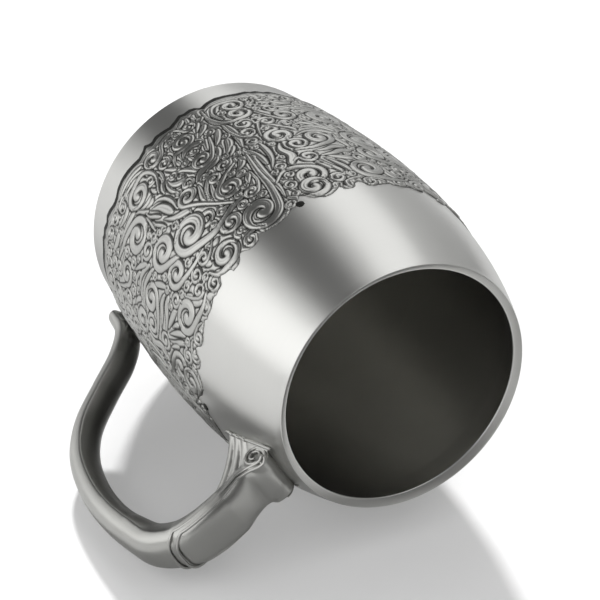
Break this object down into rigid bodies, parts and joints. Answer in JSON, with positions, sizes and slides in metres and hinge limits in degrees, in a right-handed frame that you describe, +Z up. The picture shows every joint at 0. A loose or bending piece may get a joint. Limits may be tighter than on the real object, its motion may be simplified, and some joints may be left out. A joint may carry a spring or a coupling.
{
  "type": "tankard",
  "caption": "Barrel tankard in satin pewter with a cast scroll-relief jacket and a strap handle; holds a drink and stands on a flat let-in bottom.",
  "frame": {"origin": "centre of the underside, where the tankard's axis meets the table", "axes": "+Z up along the axis to the mouth, +X towards the handle, +Y across"},
  "size_m": [0.1359, 0.0952, 0.12],
  "materials": {
    "satin_pewter": "satin turned pewter outside, dulled dark inside",
    "dark_pewter": "dull unpolished pewter",
    "relief_pewter": "cast pewter with darkened recesses and polished heights",
    "cast_pewter": "satin cast pewter"
  },
  "bodies": {
    "root": {"barrel_lower": "satin_pewter", "barrel_upper": "satin_pewter", "base_plate": "dark_pewter", "relief_panel_1": "relief_pewter", "relief_panel_2": "relief_pewter", "relief_panel_3": "relief_pewter", "relief_panel_4": "relief_pewter", "handle": "cast_pewter"}
  },
  "joints": []
}
